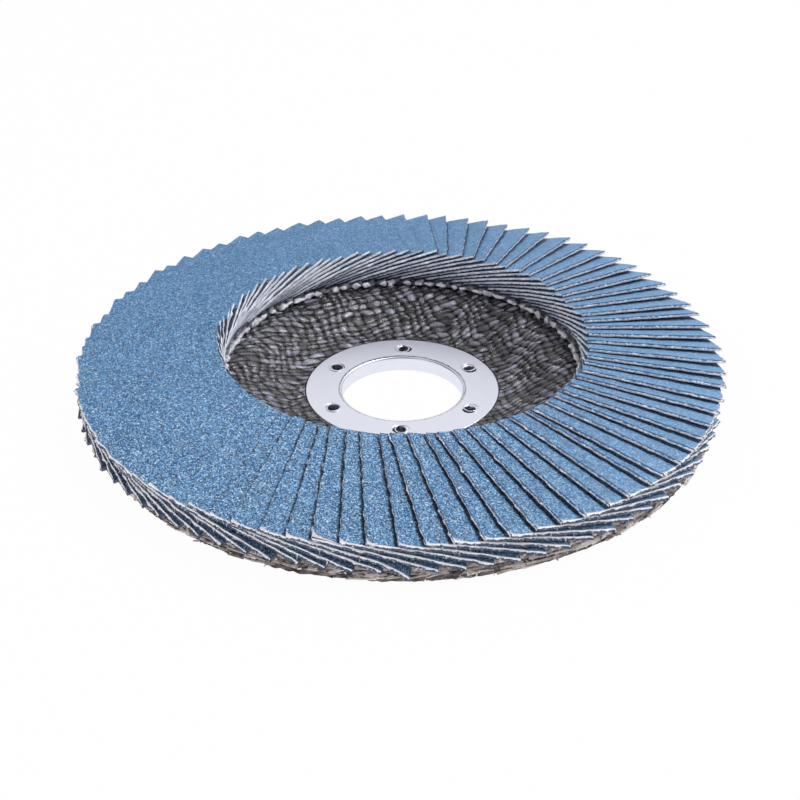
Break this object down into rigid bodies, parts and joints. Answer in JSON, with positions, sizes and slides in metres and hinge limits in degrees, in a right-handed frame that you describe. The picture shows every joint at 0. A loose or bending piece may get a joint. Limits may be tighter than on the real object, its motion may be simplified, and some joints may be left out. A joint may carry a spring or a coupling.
{
  "type": "flap disc",
  "caption": "Conical abrasive flap disc for an angle grinder: overlapping grit-cloth flaps glued in a ring to a dished fibre backing plate with a plain steel-lined arbor bore.",
  "frame": {"origin": "centre of the bore in the hub's back face, which the grinder's flange bears on", "axes": "+Z along the arbor axis, from the hub's back face towards the abrasive side; +X and +Y lie in the back face, and every flap climbs clockwise as seen from +Z"},
  "size_m": [0.116, 0.116, 0.0143],
  "materials": {
    "zinc_steel": "zinc-plated pressed steel, light grey, satin",
    "glass_mesh_resin": "black phenolic resin over woven glass mesh, half gloss",
    "cured_adhesive": "cured epoxy, pale grey",
    "abrasive_cloth": "blue zirconia grit on cloth, rough"
  },
  "bodies": {
    "root": {"hub_sleeve": "zinc_steel", "hub_washer": "zinc_steel", "backing_plate": "glass_mesh_resin", "adhesive_bed": "cured_adhesive", "flaps_01": "abrasive_cloth", "flaps_02": "abrasive_cloth", "flaps_03": "abrasive_cloth", "flaps_04": "abrasive_cloth", "flaps_05": "abrasive_cloth", "flaps_06": "abrasive_cloth", "flaps_07": "abrasive_cloth", "flaps_08": "abrasive_cloth", "flaps_09": "abrasive_cloth", "flaps_10": "abrasive_cloth", "flaps_11": "abrasive_cloth", "flaps_12": "abrasive_cloth", "flaps_13": "abrasive_cloth", "flaps_14": "abrasive_cloth", "flaps_15": "abrasive_cloth", "flaps_16": "abrasive_cloth", "flaps_17": "abrasive_cloth", "flaps_18": "abrasive_cloth", "flaps_19": "abrasive_cloth", "flaps_20": "abrasive_cloth", "flaps_21": "abrasive_cloth", "flaps_22": "abrasive_cloth", "flaps_23": "abrasive_cloth", "flaps_24": "abrasive_cloth", "flaps_25": "abrasive_cloth", "flaps_26": "abrasive_cloth", "flaps_27": "abrasive_cloth", "flaps_28": "abrasive_cloth", "flaps_29": "abrasive_cloth", "flaps_30": "abrasive_cloth", "flaps_31": "abrasive_cloth", "flaps_32": "abrasive_cloth", "flaps_33": "abrasive_cloth", "flaps_34": "abrasive_cloth", "flaps_35": "abrasive_cloth", "flaps_36": "abrasive_cloth", "flaps_37": "abrasive_cloth", "flaps_38": "abrasive_cloth", "flaps_39": "abrasive_cloth", "flaps_40": "abrasive_cloth", "flaps_41": "abrasive_cloth"}
  },
  "joints": []
}
